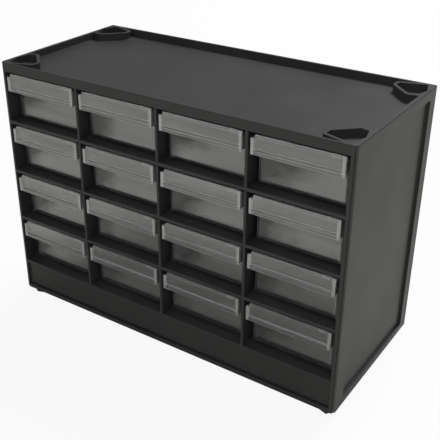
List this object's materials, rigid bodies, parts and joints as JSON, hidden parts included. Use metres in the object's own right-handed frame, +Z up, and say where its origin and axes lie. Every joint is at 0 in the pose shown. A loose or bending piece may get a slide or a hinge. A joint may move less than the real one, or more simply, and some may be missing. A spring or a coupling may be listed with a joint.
{
  "type": "compartment storage box",
  "caption": "Stackable small-parts cabinet: a black plastic carcass with translucent sliding drawers, a tray top with corner sockets, and feet that nest in them.",
  "frame": {"origin": "on the ground, under the middle of the whole cabinet", "axes": "+Z up, the drawers open towards -Y, +X to the right of someone facing the drawers"},
  "size_m": [0.379, 0.171, 0.2667],
  "materials": {
    "black_plastic": "moulded satin black plastic",
    "clear_plastic": "translucent smoke-grey moulded plastic"
  },
  "bodies": {
    "carcass": {"top_panel": "black_plastic", "base_panel": "black_plastic", "plinth_panel": "black_plastic", "back_panel": "black_plastic", "left_side_panel": "black_plastic", "right_side_panel": "black_plastic", "left_front_post": "black_plastic", "right_front_post": "black_plastic", "shelf_1": "black_plastic", "shelf_2": "black_plastic", "shelf_3": "black_plastic", "floor_shelf": "black_plastic", "divider_1": "black_plastic", "divider_2": "black_plastic", "divider_3": "black_plastic"},
    "drawer_r1c1": {"drawer_r1c1": "clear_plastic"},
    "drawer_r1c2": {"drawer_r1c2": "clear_plastic"},
    "drawer_r1c3": {"drawer_r1c3": "clear_plastic"},
    "drawer_r1c4": {"drawer_r1c4": "clear_plastic"},
    "drawer_r2c1": {"drawer_r2c1": "clear_plastic"},
    "drawer_r2c2": {"drawer_r2c2": "clear_plastic"},
    "drawer_r2c3": {"drawer_r2c3": "clear_plastic"},
    "drawer_r2c4": {"drawer_r2c4": "clear_plastic"},
    "drawer_r3c1": {"drawer_r3c1": "clear_plastic"},
    "drawer_r3c2": {"drawer_r3c2": "clear_plastic"},
    "drawer_r3c3": {"drawer_r3c3": "clear_plastic"},
    "drawer_r3c4": {"drawer_r3c4": "clear_plastic"},
    "drawer_r4c1": {"drawer_r4c1": "clear_plastic"},
    "drawer_r4c2": {"drawer_r4c2": "clear_plastic"},
    "drawer_r4c3": {"drawer_r4c3": "clear_plastic"},
    "drawer_r4c4": {"drawer_r4c4": "clear_plastic"}
  },
  "joints": [
    {"name": "drawer_r1c1_slide", "type": "slide", "parent": "carcass", "child": "drawer_r1c1", "axis": [0, -1, 0], "range_m": [0, 0.1351]},
    {"name": "drawer_r1c2_slide", "type": "slide", "parent": "carcass", "child": "drawer_r1c2", "axis": [0, -1, 0], "range_m": [0, 0.1351]},
    {"name": "drawer_r1c3_slide", "type": "slide", "parent": "carcass", "child": "drawer_r1c3", "axis": [0, -1, 0], "range_m": [0, 0.1351]},
    {"name": "drawer_r1c4_slide", "type": "slide", "parent": "carcass", "child": "drawer_r1c4", "axis": [0, -1, 0], "range_m": [0, 0.1351]},
    {"name": "drawer_r2c1_slide", "type": "slide", "parent": "carcass", "child": "drawer_r2c1", "axis": [0, -1, 0], "range_m": [0, 0.1351]},
    {"name": "drawer_r2c2_slide", "type": "slide", "parent": "carcass", "child": "drawer_r2c2", "axis": [0, -1, 0], "range_m": [0, 0.1351]},
    {"name": "drawer_r2c3_slide", "type": "slide", "parent": "carcass", "child": "drawer_r2c3", "axis": [0, -1, 0], "range_m": [0, 0.1351]},
    {"name": "drawer_r2c4_slide", "type": "slide", "parent": "carcass", "child": "drawer_r2c4", "axis": [0, -1, 0], "range_m": [0, 0.1351]},
    {"name": "drawer_r3c1_slide", "type": "slide", "parent": "carcass", "child": "drawer_r3c1", "axis": [0, -1, 0], "range_m": [0, 0.1351]},
    {"name": "drawer_r3c2_slide", "type": "slide", "parent": "carcass", "child": "drawer_r3c2", "axis": [0, -1, 0], "range_m": [0, 0.1351]},
    {"name": "drawer_r3c3_slide", "type": "slide", "parent": "carcass", "child": "drawer_r3c3", "axis": [0, -1, 0], "range_m": [0, 0.1351]},
    {"name": "drawer_r3c4_slide", "type": "slide", "parent": "carcass", "child": "drawer_r3c4", "axis": [0, -1, 0], "range_m": [0, 0.1351]},
    {"name": "drawer_r4c1_slide", "type": "slide", "parent": "carcass", "child": "drawer_r4c1", "axis": [0, -1, 0], "range_m": [0, 0.1351]},
    {"name": "drawer_r4c2_slide", "type": "slide", "parent": "carcass", "child": "drawer_r4c2", "axis": [0, -1, 0], "range_m": [0, 0.1351]},
    {"name": "drawer_r4c3_slide", "type": "slide", "parent": "carcass", "child": "drawer_r4c3", "axis": [0, -1, 0], "range_m": [0, 0.1351]},
    {"name": "drawer_r4c4_slide", "type": "slide", "parent": "carcass", "child": "drawer_r4c4", "axis": [0, -1, 0], "range_m": [0, 0.1351]}
  ]
}
